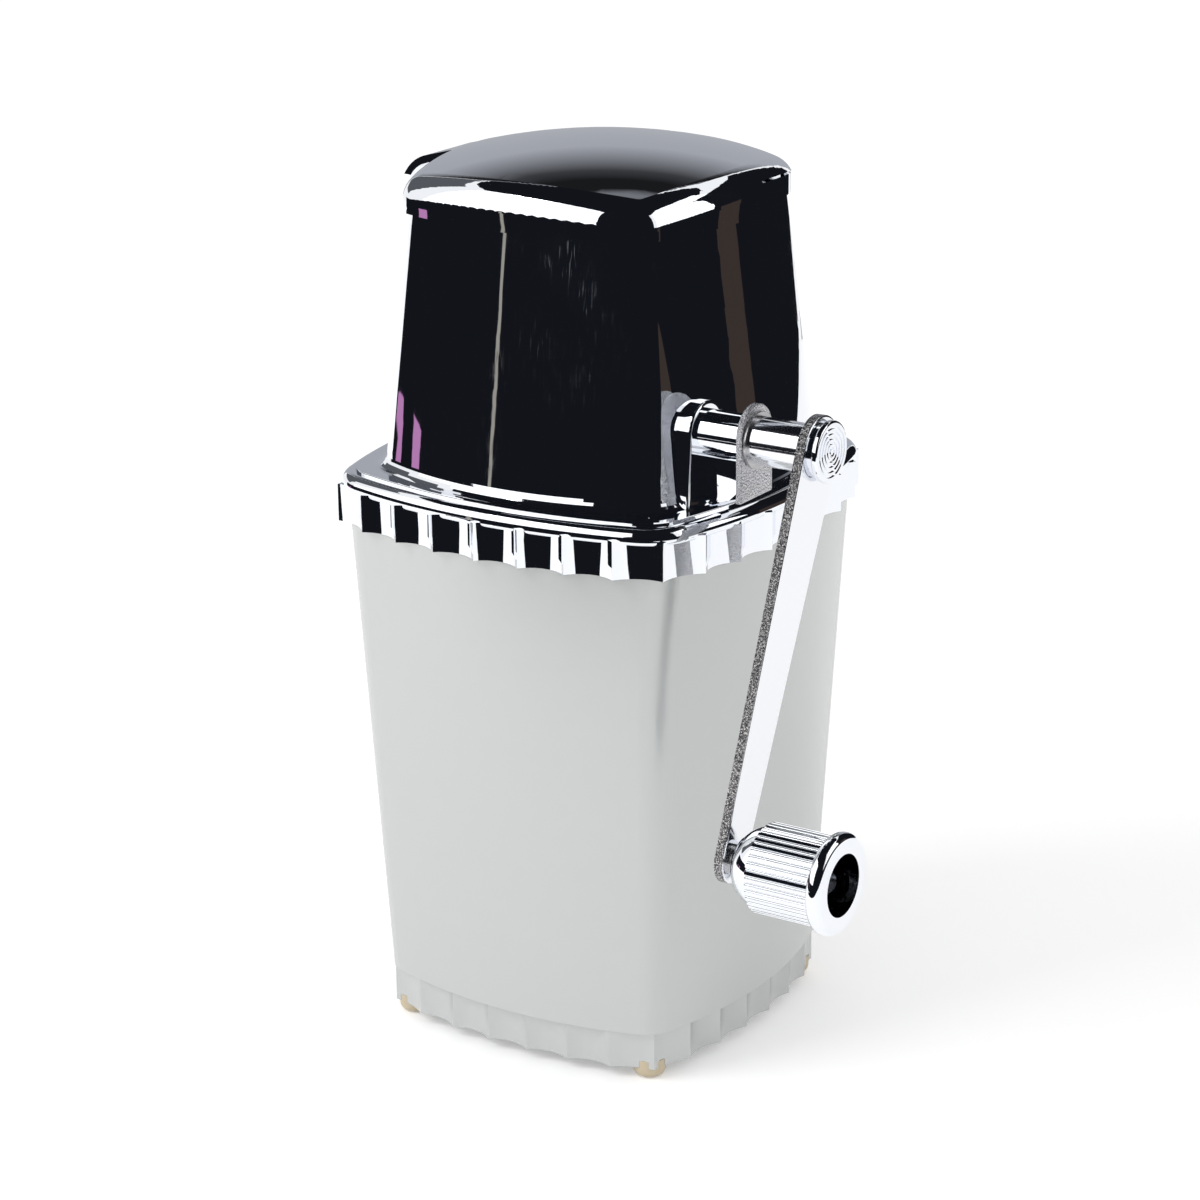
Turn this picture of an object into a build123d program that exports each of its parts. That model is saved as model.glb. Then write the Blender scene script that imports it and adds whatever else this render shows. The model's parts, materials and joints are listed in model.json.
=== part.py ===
"""Hand crank ice crusher: a drafted cup, and over it a lift-off head with hopper, rotor and crank.

Millimetres. +Z is up, +X is the crank side and -Y is the front. The origin is the middle of the
base, on the surface that the feet stand on.
"""

import os
from math import asin, copysign, cos, pi, radians, sin, sqrt

from build123d import *

os.makedirs("parts", exist_ok=True)

# ---------------------------------------------------------------- driving dimensions: the outlines
# Every body outline is a square with bowed sides: half its width, the bow's radius, the corner's.
cup_foot_outline = (52.0, 132.0, 8.1)
cup_mouth_outline = (59.2, 155.0, 12.0)
skirt_outline = (51.1, 162.0, 11.4)
collar_outline = (62.7, 163.0, 16.8)
hopper_foot_outline = (53.5, 96.0, 12.0)
hopper_top_outline = (44.05, 100.0, 7.0)
lid_rim_outline = (46.4, 103.0, 10.0)

# ---------------------------------------------------------------- heights
foot_height = 3.5
skirt_height = 10.7
cup_height = 133.7
collar_skirt_height = 10.4
collar_bead_height = 3.3
hopper_height = 73.8
lid_overlap = 2.0
lid_crown_above_rim = 17.4

# ---------------------------------------------------------------- walls and clearances
cup_wall = 2.3
hopper_wall = 2.4
lid_wall = 1.6
crown_wall = 1.8
ramp_wall = 2.0
bracket_wall = 1.0
close_fit = 0.05
side_gap = 0.3
loose_fit = 1.0
moving_gap = 0.6

# ---------------------------------------------------------------- flutes, bead and deck
flutes_per_side = 8
flute_depth = 2.8
skirt_flutes_per_side = 7
skirt_flute_depth = 1.9
bead_inset = 1.3
bead_overhang = 1.2
bead_top_round = 3.0
bead_under_round = 1.0
throat_inset = 12.4
spigot_depth = 7.0
spigot_wall = 2.0
seat_depth = 0.8
seat_inset = 5.2
hopper_flange_thickness = 1.6
hopper_flange_flare = 3.0
flare_steps = 6

# ---------------------------------------------------------------- feet
foot_radius = 4.6
foot_spread = 39.6
foot_socket_depth = 2.0
foot_socket_wall = 1.6
foot_round = 2.6

# ---------------------------------------------------------------- screws and rivets
screw_spread = 37.8
screw_radius = 1.5
screw_bite = 8.0
screw_head_radius = 3.0
screw_head_height = 1.8
screw_post_radius = 5.0
screw_post_height = 9.2
screw_lug_width = 16.0
small_screw_radius = 1.2
small_screw_head_radius = 2.3
small_screw_head_height = 1.4
small_screw_bite = 2.6
rivet_radius = 1.2
rivet_head_radius = 2.4
rivet_head_height = 1.1
rivet_pitch = 17.0

# ---------------------------------------------------------------- lid, finger lip and hinge
crown_radius = 165.0
shoulder_round = 8.0
lid_draft = 0.6
lip_half_width = 10.5
lip_root_x = 40.0
lip_bend_x = 50.0
lip_reach = 58.8
lip_thickness = 2.2
lip_root_sink = 0.5
lip_bend_below_crown = 8.0
lip_tip_below_crown = 18.0
lip_corner_round = 4.0
seam_foot_y = 14.3
seam_lean = 6.0
seam_rise = 10.4
brim_thickness = 2.4
bracket_recess = 1.1
bracket_foot_above_rim = 0.6
bracket_rear_above_rim = 2.6
bracket_rear_half = 34.0
bracket_rear_y = 36.0
bracket_tail_drop = 12.0
bracket_tail_half = 15.0
hinge_y = 43.0
hinge_above_rim = 6.6
pin_radius = 1.0
knuckle_radius = 2.2
knuckle_gap = 0.5
lid_knuckle_half = 7.5
bracket_knuckle_length = 7.5
hinge_notch_half = 16.6
hinge_notch_y = 40.6
lid_knuckle_root_y = 36.0
lid_knuckle_below = 1.2

# ---------------------------------------------------------------- crank axis, shaft and bearings
axis_y = -26.0
axis_above_seat = 20.6
journal_radius = 3.5
bush_wall = 1.5
boss_radius = 6.3
boss_flange_radius = 8.3
boss_flange_x = 49.5
boss_flange_round = 0.8
boss_flange_draft = 1.3
boss_web_half = 1.8
boss_web_start_x = 50.0
boss_face_x = 63.0
plate_radius = 8.0
plate_arch_above_axis = 1.6
plate_thickness = 1.6
plate_round = 0.4
plate_foot_above_seat = 5.2
inner_boss_radius = 7.5
inner_boss_x = 38.6
left_bush_length = 5.4

# ---------------------------------------------------------------- rotor
disc_count = 6
disc_pitch = 12.0
disc_thickness = 4.0
claw_radius = 15.2
claw_root_radius = 8.6
claw_root_sink = 1.0
claw_count = 4
claw_back_angle = 58.0
claw_hook_angle = 12.0
claw_stagger = 15.0
drive_square = 6.2
spacer_radius = 6.2

# ---------------------------------------------------------------- ramp and comb
ramp_slope = 26.0
ramp_below_axis = 7.5
ramp_gap = 1.5
ramp_length = 75.0
ledge_inner_x = 36.0
ledge_thickness = 3.0
ledge_length = 46.0
ramp_screw_x = 39.3
ramp_screw_places = (26.0, 50.0)
finger_width = 4.0
comb_thickness = 4.0
finger_reach = 22.0
comb_depth = 16.0
comb_half_width = 33.0
comb_screw_pitch = 24.0

# ---------------------------------------------------------------- crank arm
hub_radius = 6.4
washer_radius = 7.5
washer_thickness = 0.7
arm_face_x = 83.8
arm_thickness = 2.6
arm_head_radius = 9.2
arm_eye_radius = 6.2
arm_length = 106.7
arm_lean = 23.6
arm_edge_round = 0.5
drive_end_square = 4.8
drive_end_length = 15.0
stud_radius = 2.3
cap_base_radius = 7.0
cap_base_height = 1.1
cap_radius = 8.2
cap_height = 1.8
cap_ring_count = 5
cap_ring_width = 0.65
cap_ring_pitch = 1.35
cap_ring_depth = 0.35

# ---------------------------------------------------------------- knob
knob_collar_radius = 4.0
knob_collar_length = 1.2
knob_dome_radius = 11.0
knob_dome_length = 7.9
knob_dome_nose_radius = 5.0
grip_radius = 11.8
grip_length = 17.8
grip_wall = 1.6
grip_rib_count = 40
grip_rib_depth = 0.5
knob_bore_radius = 8.2
knob_ring_radius = 13.4
knob_ring_length = 4.2
knob_ring_round = 2.0
knob_pin_radius = 2.2
knob_pin_head_radius = 4.2
knob_pin_head_height = 1.4

# ---------------------------------------------------------------- derived places
cup_floor_z = foot_height + skirt_height
seat_z = cup_floor_z + cup_height
shelf_z = seat_z + collar_skirt_height
deck_z = shelf_z + collar_bead_height
flange_under_z = shelf_z - bead_overhang
hopper_foot_z = deck_z - seat_depth
hopper_top_z = hopper_foot_z + hopper_height
flange_top_z = hopper_foot_z + hopper_flange_thickness
axis_z = hopper_foot_z + axis_above_seat
lid_rim_z = hopper_top_z - lid_overlap
crown_z = lid_rim_z + lid_crown_above_rim
crown_centre_z = crown_z - crown_radius
hinge_z = lid_rim_z + hinge_above_rim
plate_face_x = boss_face_x + plate_thickness
plate_foot_z = hopper_foot_z + plate_foot_above_seat
arm_back_x = arm_face_x - arm_thickness
knob_y = axis_y - arm_length * sin(radians(arm_lean))
knob_z = axis_z - arm_length * cos(radians(arm_lean))
knob_back_x = arm_face_x + knob_collar_length + side_gap
grip_back_x = knob_back_x + knob_dome_length
ring_back_x = grip_back_x + grip_length
knob_face_x = ring_back_x + knob_ring_length
bush_radius = journal_radius + bush_wall
ramp_angle = radians(ramp_slope)
ramp_start = sqrt((claw_radius + ramp_gap) ** 2 - ramp_below_axis**2)
BEYOND = 150.0
HAIR = 0.01


# ---------------------------------------------------------------- outlines
def grown(outline, growth):
    """The same bowed outline, moved outwards by growth, or inwards where it is negative."""
    return tuple(size + growth for size in outline)


def corner_centre(outline):
    """How far the centre of a corner's arc stands from the middle, along X and along Y."""
    half, bow, corner = outline
    reach = bow - half
    return (sqrt(2 * (bow - corner) ** 2 - reach**2) - reach) / 2


def side_angle(outline):
    """Half the angle that one bowed side turns through."""
    half, bow, corner = outline
    return asin(corner_centre(outline) / (bow - corner))


def outline_point(outline, travel, inset=0.0):
    """A point on the front side, travel along the outline from its middle, set in by inset."""
    half, bow, corner = outline
    turn = side_angle(outline)
    if abs(travel) <= bow * turn + HAIR:
        angle = travel / bow
        return Vector((bow - inset) * sin(angle), bow - half - (bow - inset) * cos(angle))
    angle = turn + (abs(travel) - bow * turn) / corner
    centre = corner_centre(outline)
    across = centre + (corner - inset) * sin(angle)
    return Vector(copysign(across, travel), -centre - (corner - inset) * cos(angle))


def side_length(outline):
    """The length of a quarter of the outline, from the middle of one corner to the next."""
    half, bow, corner = outline
    turn = side_angle(outline)
    return 2 * (bow * turn + corner * (pi / 4 - turn))


def quarter_turns(points):
    """The points of the front side, repeated on all four sides."""
    return [point.rotate(Axis.Z, 90 * side) for side in range(4) for point in points]


def cushion(outline):
    """A face with the plain bowed outline."""
    half, bow, corner = outline
    end = bow * side_angle(outline)
    starts = quarter_turns([outline_point(outline, -end)])
    middles = quarter_turns([outline_point(outline, 0)])
    ends = quarter_turns([outline_point(outline, end)])
    bends = quarter_turns([outline_point(outline, side_length(outline) / 2)])
    with BuildSketch() as sketch:
        with BuildLine():
            for side in range(4):
                ThreePointArc(starts[side], middles[side], ends[side])
                ThreePointArc(ends[side], bends[side], starts[(side + 1) % 4])
        make_face()
    return sketch.sketch


def fluted(outline, count, depth):
    """A face whose sides are count hollow flutes each, which meet at sharp ridges."""
    pitch = side_length(outline) / count
    start = -side_length(outline) / 2
    ridges = quarter_turns([outline_point(outline, start + pitch * i) for i in range(count)])
    hollows = quarter_turns(
        [outline_point(outline, start + pitch * (i + 0.5), depth) for i in range(count)]
    )
    with BuildSketch() as sketch:
        with BuildLine():
            for i in range(4 * count):
                ThreePointArc(ridges[i], hollows[i], ridges[(i + 1) % (4 * count)])
        make_face()
    return sketch.sketch


# ---------------------------------------------------------------- solids that several pieces use
def stacked(outlines, heights):
    """A solid that runs straight from each bowed outline to the next one above it."""
    with BuildPart() as solid:
        for outline, height in zip(outlines, heights):
            with BuildSketch(Plane.XY.offset(height)):
                add(cushion(outline))
        loft(ruled=True)
    return solid.part


def drafted(lower, lower_z, upper, upper_z):
    """A solid that runs straight from one bowed outline to another."""
    return stacked((lower, upper), (lower_z, upper_z))


def prism(outline, low, high):
    """An upright solid with a bowed outline, between two heights."""
    with BuildPart() as solid:
        with BuildSketch(Plane.XY.offset(low)):
            add(cushion(outline))
        extrude(amount=high - low)
    return solid.part


def fluted_prism(outline, count, depth, low, high):
    """An upright solid with fluted sides, between two heights."""
    with BuildPart() as solid:
        with BuildSketch(Plane.XY.offset(low)):
            add(fluted(outline, count, depth))
        extrude(amount=high - low)
    return solid.part


def posts(radius, spread, low, high):
    """Four upright posts, one in each corner."""
    with BuildPart() as solid:
        with BuildSketch(Plane.XY.offset(low)):
            with GridLocations(2 * spread, 2 * spread, 2, 2):
                Circle(radius)
        extrude(amount=high - low)
    return solid.part


def block(low, high):
    """A box between two corners."""
    with BuildPart() as solid:
        with BuildSketch(Plane.XY.offset(low[2])):
            with Locations(((low[0] + high[0]) / 2, (low[1] + high[1]) / 2)):
                Rectangle(high[0] - low[0], high[1] - low[1])
        extrude(amount=high[2] - low[2])
    return solid.part


def across(centre, radius, start, end):
    """A cylinder along X about a point in Y and Z."""
    with BuildPart() as solid:
        with BuildSketch(Plane(origin=(start, *centre), x_dir=(0, 1, 0), z_dir=(1, 0, 0))):
            Circle(radius)
        extrude(amount=end - start)
    return solid.part


def square_across(centre, side, start, end):
    """A square bar along X about a point in Y and Z."""
    with BuildPart() as solid:
        with BuildSketch(Plane(origin=(start, *centre), x_dir=(0, 1, 0), z_dir=(1, 0, 0))):
            Rectangle(side, side)
        extrude(amount=end - start)
    return solid.part


def tombstone(radius, rise, start, end, foot_z):
    """A slab with a round top, rise above the crank axis, and straight sides to a height."""
    with BuildPart() as solid:
        with BuildSketch(Plane(origin=(start, *crank_axis), x_dir=(0, 1, 0), z_dir=(1, 0, 0))):
            with Locations((0, rise)):
                Circle(radius)
            with Locations((0, (foot_z - axis_z + rise) / 2)):
                Rectangle(2 * radius, axis_z + rise - foot_z)
            split(bisect_by=Plane.XZ.offset(axis_z - foot_z), keep=Keep.BOTTOM)
        extrude(amount=end - start)
    return solid.part


def hopper_outline(height, growth=0.0):
    """The hopper wall's outer outline at a height, grown outwards by growth."""
    share = (height - hopper_foot_z) / hopper_height
    pairs = zip(hopper_foot_outline, hopper_top_outline)
    return tuple(foot + (top - foot) * share + growth for foot, top in pairs)


def hopper_core(growth, low, high):
    """The drafted space inside the hopper's outer wall, grown outwards by growth."""
    return drafted(hopper_outline(low, growth), low, hopper_outline(high, growth), high)


def hopper_outside():
    """The hopper's outer body, whose foot runs out into the flange in a hollow curve."""
    angles = [pi / 2 * step / flare_steps for step in range(flare_steps + 1)]
    heights = [flange_top_z + hopper_flange_flare * (1 - cos(angle)) for angle in angles]
    growths = [hopper_flange_flare * (1 - sin(angle)) for angle in angles]
    outlines = [hopper_outline(height, growth) for height, growth in zip(heights, growths)]
    return stacked(outlines + [hopper_top_outline], heights + [hopper_top_z])


def dome(radius):
    """A ball about the centre of the lid's crown."""
    with BuildPart() as solid:
        with Locations((0, 0, crown_centre_z)):
            Sphere(radius)
    return solid.part


def behind_seam(gap):
    """Everything behind the slanted side seam of the lid, set back by gap."""
    slope = seam_lean / seam_rise
    low_z = lid_rim_z - moving_gap
    foot_y = seam_foot_y + gap + slope * moving_gap
    head_y = seam_foot_y + gap - seam_lean
    with BuildPart() as solid:
        with BuildSketch(Plane.YZ.offset(-BEYOND / 2)):
            with BuildLine():
                Polyline(
                    (foot_y, low_z), (head_y, lid_rim_z + seam_rise), (head_y, crown_z),
                    (BEYOND, crown_z), (BEYOND, low_z), close=True,
                )
            make_face()
        extrude(amount=BEYOND)
    return solid.part


def ramp_slab(width_from, width_to, from_length, to_length, top, thickness):
    """A slab that lies in the ramp's slope, its top a distance below the ramp's face."""
    with BuildPart() as solid:
        with BuildSketch(ramp_plane.offset(-top)):
            with Locations(((width_from + width_to) / 2, (from_length + to_length) / 2)):
                Rectangle(width_to - width_from, to_length - from_length)
        extrude(amount=-thickness)
    return solid.part


def ramp_pins(places, radius, top, length):
    """Round pins square to the ramp, their tops a distance below the ramp's face."""
    with BuildPart() as solid:
        with BuildSketch(ramp_plane.offset(-top)):
            with Locations(*places):
                Circle(radius)
        extrude(amount=-length)
    return solid.part


def rivet_pins(radius, start, end):
    """Round pins square to the hopper's rear wall, measured outwards from its face."""
    with BuildPart() as solid:
        with BuildSketch(rivet_plane.offset(start)):
            with GridLocations(rivet_pitch, 1, 2, 1):
                Circle(radius)
        extrude(amount=end - start)
    return solid.part


def finish(piece, label):
    """Names the piece and writes it."""
    piece.label = label
    export_step(piece, f"parts/{label}.step")


crank_axis = (axis_y, axis_z)
knob_axis = (knob_y, knob_z)
hinge_axis = (hinge_y, hinge_z)
ramp_plane = Plane(
    origin=(
        0,
        axis_y + ramp_below_axis * sin(ramp_angle),
        axis_z - ramp_below_axis * cos(ramp_angle),
    ),
    x_dir=(1, 0, 0),
    z_dir=(0, -sin(ramp_angle), cos(ramp_angle)),
)
wall_lean = (hopper_foot_outline[0] - hopper_top_outline[0]) / hopper_height
rivet_z = lid_rim_z + bracket_foot_above_rim - bracket_tail_drop / 2
rivet_plane = Plane(
    origin=(0, hopper_outline(rivet_z)[0], rivet_z), x_dir=(-1, 0, 0), z_dir=(0, 1, wall_lean)
)
ramp_screws_at = [(x, y) for x in (-ramp_screw_x, ramp_screw_x) for y in ramp_screw_places]
comb_screws_at = [(x, ramp_start + comb_depth / 2) for x in (-comb_screw_pitch, 0, comb_screw_pitch)]

# ================================================================ cup
cup_inner_foot = grown(cup_foot_outline, -cup_wall)
cup_inner_mouth = grown(cup_mouth_outline, -cup_wall)
skirt_inside = grown(skirt_outline, -skirt_flute_depth - cup_wall)
with BuildPart() as cup:
    add(
        fluted_prism(
            skirt_outline, skirt_flutes_per_side, skirt_flute_depth, foot_height, cup_floor_z
        )
    )
    add(prism(skirt_inside, foot_height, cup_floor_z), mode=Mode.SUBTRACT)
    with BuildPart(mode=Mode.PRIVATE) as foot_sockets:
        add(posts(foot_radius + foot_socket_wall, foot_spread, foot_height, cup_floor_z))
        add(
            fluted_prism(
                skirt_outline, skirt_flutes_per_side, skirt_flute_depth, foot_height, cup_floor_z
            ),
            mode=Mode.INTERSECT,
        )
    add(foot_sockets.part)
    add(drafted(cup_foot_outline, cup_floor_z, cup_mouth_outline, seat_z))
    add(
        drafted(cup_inner_foot, cup_floor_z + cup_wall, cup_inner_mouth, seat_z),
        mode=Mode.SUBTRACT,
    )
    add(
        posts(foot_radius + close_fit, foot_spread, foot_height, foot_height + foot_socket_depth),
        mode=Mode.SUBTRACT,
    )
finish(cup.part, "cup")

# ================================================================ rubber feet
with BuildPart() as feet:
    add(posts(foot_radius, foot_spread, 0, foot_height + foot_socket_depth))
    fillet(feet.edges().group_by(Axis.Z)[0], foot_round)
finish(feet.part, "rubber_feet")

# ================================================================ collar
bead_outline = grown(collar_outline, -bead_inset)
spigot_outline = grown(cup_inner_mouth, -loose_fit)
deck_outline = grown(collar_outline, -seat_inset)
throat_outline = grown(collar_outline, -throat_inset)
lug_spread = screw_spread + screw_lug_width / 2 - screw_post_radius
with BuildPart() as collar:
    add(fluted_prism(collar_outline, flutes_per_side, flute_depth, seat_z, shelf_z))
    with BuildPart(mode=Mode.PRIVATE) as bead:
        add(prism(bead_outline, flange_under_z, deck_z))
        fillet(bead.edges().group_by(Axis.Z)[-1], bead_top_round)
        fillet(bead.edges().group_by(Axis.Z)[0], bead_under_round)
    add(bead.part)
    add(prism(spigot_outline, seat_z - spigot_depth, seat_z))
    add(
        prism(grown(spigot_outline, -spigot_wall), seat_z - spigot_depth, flange_under_z),
        mode=Mode.SUBTRACT,
    )
    add(prism(throat_outline, flange_under_z, deck_z), mode=Mode.SUBTRACT)
    with BuildSketch(Plane.XY.offset(flange_under_z)):
        with GridLocations(2 * lug_spread, 2 * lug_spread, 2, 2):
            RectangleRounded(screw_lug_width, screw_lug_width, screw_post_radius)
    extrude(amount=hopper_foot_z - flange_under_z)
    add(prism(deck_outline, hopper_foot_z, deck_z), mode=Mode.SUBTRACT)
    add(posts(screw_radius + close_fit, screw_spread, flange_under_z, deck_z), mode=Mode.SUBTRACT)
finish(collar.part, "collar")

# ================================================================ hopper
hopper_flange = grown(deck_outline, -close_fit)
with BuildPart() as hopper:
    add(hopper_outside())
    add(prism(hopper_flange, hopper_foot_z, flange_top_z))
    with BuildPart(mode=Mode.PRIVATE) as boss:
        with BuildSketch(Plane(origin=(inner_boss_x, *crank_axis), x_dir=(0, 1, 0), z_dir=(1, 0, 0))):
            Circle(boss_flange_radius)
            with BuildLine():
                drop = flange_top_z - axis_z
                foot_half = boss_flange_radius + boss_flange_draft
                Polyline(
                    (-boss_flange_radius, 0), (boss_flange_radius, 0),
                    (foot_half, drop), (-foot_half, drop), close=True,
                )
            make_face()
        extrude(amount=boss_flange_x - inner_boss_x)
        fillet(boss.edges().group_by(Axis.X)[-1], boss_flange_round)
        add(across(crank_axis, boss_radius, inner_boss_x, boss_face_x))
        add(
            block(
                (inner_boss_x, axis_y - boss_web_half, flange_top_z),
                (boss_face_x, axis_y + boss_web_half, axis_z),
            )
        )
        with BuildSketch(Plane.XZ.offset(-BEYOND / 2)):
            with BuildLine():
                Polyline(
                    (boss_web_start_x, flange_top_z), (boss_face_x, plate_foot_z),
                    (boss_face_x, flange_top_z), close=True,
                )
            make_face()
        extrude(amount=BEYOND, mode=Mode.SUBTRACT)
    add(boss.part)
    add(hopper_core(-hopper_wall, hopper_foot_z, hopper_top_z), mode=Mode.SUBTRACT)
    with BuildPart(mode=Mode.PRIVATE) as inside:
        add(posts(screw_post_radius, screw_spread, hopper_foot_z, hopper_foot_z + screw_post_height))
        add(across(crank_axis, inner_boss_radius, -BEYOND / 2, -inner_boss_x))
        add(across(crank_axis, inner_boss_radius, inner_boss_x, BEYOND / 2))
        ledge_end = ramp_start + ledge_length
        add(
            ramp_slab(
                ledge_inner_x, BEYOND / 2, ramp_start, ledge_end, ramp_wall, ledge_thickness
            )
        )
        add(
            ramp_slab(
                -BEYOND / 2, -ledge_inner_x, ramp_start, ledge_end, ramp_wall, ledge_thickness
            )
        )
        add(hopper_core(-hopper_wall / 2, hopper_foot_z, hopper_top_z), mode=Mode.INTERSECT)
    add(inside.part)
    add(
        across(crank_axis, bush_radius + close_fit, inner_boss_x - left_bush_length, boss_face_x),
        mode=Mode.SUBTRACT,
    )
    add(
        across(crank_axis, bush_radius + close_fit, -inner_boss_x - left_bush_length, 0),
        mode=Mode.SUBTRACT,
    )
    add(
        posts(screw_radius + close_fit, screw_spread, hopper_foot_z, hopper_foot_z + screw_bite),
        mode=Mode.SUBTRACT,
    )
    add(
        ramp_pins(ramp_screws_at, small_screw_radius + close_fit, ramp_wall, ledge_thickness),
        mode=Mode.SUBTRACT,
    )
    add(rivet_pins(rivet_radius + close_fit, -2 * hopper_wall, hopper_wall), mode=Mode.SUBTRACT)
finish(hopper.part, "hopper_shell")

# ================================================================ collar screws
with BuildPart() as collar_screws:
    add(posts(screw_head_radius, screw_spread, flange_under_z - screw_head_height, flange_under_z))
    fillet(collar_screws.edges().group_by(Axis.Z)[0], screw_head_height / 3)
    add(posts(screw_radius, screw_spread, flange_under_z, hopper_foot_z + screw_bite))
finish(collar_screws.part, "collar_screws")

# ================================================================ lid
with BuildPart() as lid:
    add(drafted(lid_rim_outline, lid_rim_z, grown(lid_rim_outline, -lid_draft), crown_z))
    add(dome(crown_radius), mode=Mode.INTERSECT)
    fillet(lid.faces().sort_by(Axis.Z)[-1].edges(), shoulder_round)
    with BuildPart(mode=Mode.PRIVATE) as lid_inside:
        lid_inner_rim = grown(lid_rim_outline, -lid_wall)
        add(drafted(lid_inner_rim, lid_rim_z, grown(lid_inner_rim, -lid_draft), crown_z))
        add(dome(crown_radius - crown_wall), mode=Mode.INTERSECT)
        fillet(lid_inside.faces().sort_by(Axis.Z)[-1].edges(), shoulder_round - lid_wall)
    add(lid_inside.part, mode=Mode.SUBTRACT)
    with BuildPart(mode=Mode.PRIVATE) as lip:
        with BuildSketch(Plane.XZ.offset(-lip_half_width)):
            with BuildLine():
                bend_z = crown_z - lip_bend_below_crown
                tip_z = crown_z - lip_tip_below_crown
                root_z = crown_centre_z + sqrt(crown_radius**2 - lip_root_x**2) - lip_root_sink
                run = (lip_root_x - lip_bend_x, bend_z - root_z)
                root = (-lip_root_x, root_z)
                bend = (-lip_bend_x, bend_z)
                tip = (-lip_reach, tip_z)
                inner_root = (-lip_root_x, root_z - lip_thickness)
                inner_bend = (-lip_bend_x, bend_z - lip_thickness)
                inner_tip = (lip_thickness - lip_reach, tip_z)
                Line(root, bend)
                TangentArc(bend, tip, tangent=run)
                Line(tip, inner_tip)
                TangentArc(inner_bend, inner_tip, tangent=run)
                Line(inner_bend, inner_root)
                Line(inner_root, root)
            make_face()
        extrude(amount=2 * lip_half_width)
        lip_corners = lip.edges().filter_by(GeomType.LINE).filter_by(Axis.X).group_by(Axis.X)[0]
        fillet(lip_corners, lip_corner_round)
    add(lip.part)
    with BuildPart(mode=Mode.PRIVATE) as cut_out:
        add(behind_seam(0))
        add(dome(crown_radius - brim_thickness), mode=Mode.INTERSECT)
    add(cut_out.part, mode=Mode.SUBTRACT)
    add(
        block(
            (-hinge_notch_half, hinge_notch_y, lid_rim_z), (hinge_notch_half, BEYOND, crown_z)
        ),
        mode=Mode.SUBTRACT,
    )
    knuckle_top_z = hinge_z + knuckle_radius
    knuckle_foot_z = hinge_z - lid_knuckle_below
    add(
        block(
            (-lid_knuckle_half, lid_knuckle_root_y, knuckle_foot_z),
            (lid_knuckle_half, hinge_notch_y - HAIR, knuckle_top_z + crown_wall),
        )
    )
    add(
        block(
            (-lid_knuckle_half, lid_knuckle_root_y, knuckle_foot_z),
            (lid_knuckle_half, hinge_y, knuckle_top_z),
        )
    )
    add(across(hinge_axis, knuckle_radius, -lid_knuckle_half, lid_knuckle_half))
    add(
        across(hinge_axis, pin_radius + close_fit, -lid_knuckle_half, lid_knuckle_half),
        mode=Mode.SUBTRACT,
    )
finish(lid.part, "lid")

# ================================================================ hinge bracket, pin and rivets
bracket_outline = grown(lid_rim_outline, -bracket_recess)
bracket_foot_z = lid_rim_z + bracket_foot_above_rim
bracket_rear_z = lid_rim_z + bracket_rear_above_rim
tail_foot_z = bracket_foot_z - bracket_tail_drop
bracket_knuckle_start = lid_knuckle_half + knuckle_gap
bracket_knuckle_end = bracket_knuckle_start + bracket_knuckle_length
bracket_band = grown(bracket_outline, -bracket_wall)
with BuildPart() as bracket:
    add(prism(bracket_outline, bracket_foot_z, crown_z))
    add(prism(bracket_band, bracket_foot_z, crown_z), mode=Mode.SUBTRACT)
    add(behind_seam(moving_gap), mode=Mode.INTERSECT)
    add(dome(crown_radius - brim_thickness - moving_gap), mode=Mode.INTERSECT)
    add(
        block(
            (-bracket_rear_half, bracket_rear_y, bracket_rear_z),
            (bracket_rear_half, BEYOND, crown_z),
        ),
        mode=Mode.SUBTRACT,
    )
    with BuildPart(mode=Mode.PRIVATE) as tail:
        tail_top_z = bracket_foot_z + bracket_wall
        outer_foot = hopper_outline(tail_foot_z, bracket_wall + close_fit)
        outer_top = hopper_outline(tail_top_z, bracket_wall + close_fit)
        add(drafted(outer_foot, tail_foot_z, outer_top, tail_top_z))
        add(hopper_core(close_fit, hopper_foot_z, hopper_top_z), mode=Mode.SUBTRACT)
        add(
            block(
                (-bracket_tail_half, 0, tail_foot_z), (bracket_tail_half, BEYOND, crown_z)
            ),
            mode=Mode.INTERSECT,
        )
    add(tail.part)
    for start in (-bracket_knuckle_end, bracket_knuckle_start):
        end = start + bracket_knuckle_length
        add(across(hinge_axis, knuckle_radius, start, end))
        add(
            block(
                (start, hinge_y + knuckle_radius - 2 * bracket_wall, hopper_top_z + close_fit),
                (end, hinge_y + knuckle_radius, hinge_z),
            )
        )
    add(
        across(hinge_axis, pin_radius, -bracket_knuckle_end, bracket_knuckle_end),
        mode=Mode.SUBTRACT,
    )
    add(rivet_pins(rivet_radius + close_fit, -2 * hopper_wall, 2 * hopper_wall), mode=Mode.SUBTRACT)
finish(bracket.part, "hinge_bracket")

with BuildPart() as hinge_pin:
    add(across(hinge_axis, pin_radius, -bracket_knuckle_end, bracket_knuckle_end))
finish(hinge_pin.part, "hinge_pin")

rivet_face = bracket_wall + 2 * close_fit
with BuildPart() as hinge_rivets:
    add(rivet_pins(rivet_radius, -hopper_wall, rivet_face))
    add(rivet_pins(rivet_head_radius, rivet_face, rivet_face + rivet_head_height))
    fillet(hinge_rivets.edges().group_by(Axis.Y)[-1], rivet_head_height / 2)
finish(hinge_rivets.part, "hinge_rivets")

# ================================================================ bearing plate and bushes
with BuildPart() as plate:
    add(tombstone(plate_radius, plate_arch_above_axis, boss_face_x, plate_face_x, plate_foot_z))
    fillet(plate.edges().group_by(Axis.X)[-1], plate_round)
    add(across(crank_axis, bush_radius + close_fit, boss_face_x, plate_face_x), mode=Mode.SUBTRACT)
finish(plate.part, "bearing_plate")

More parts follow.
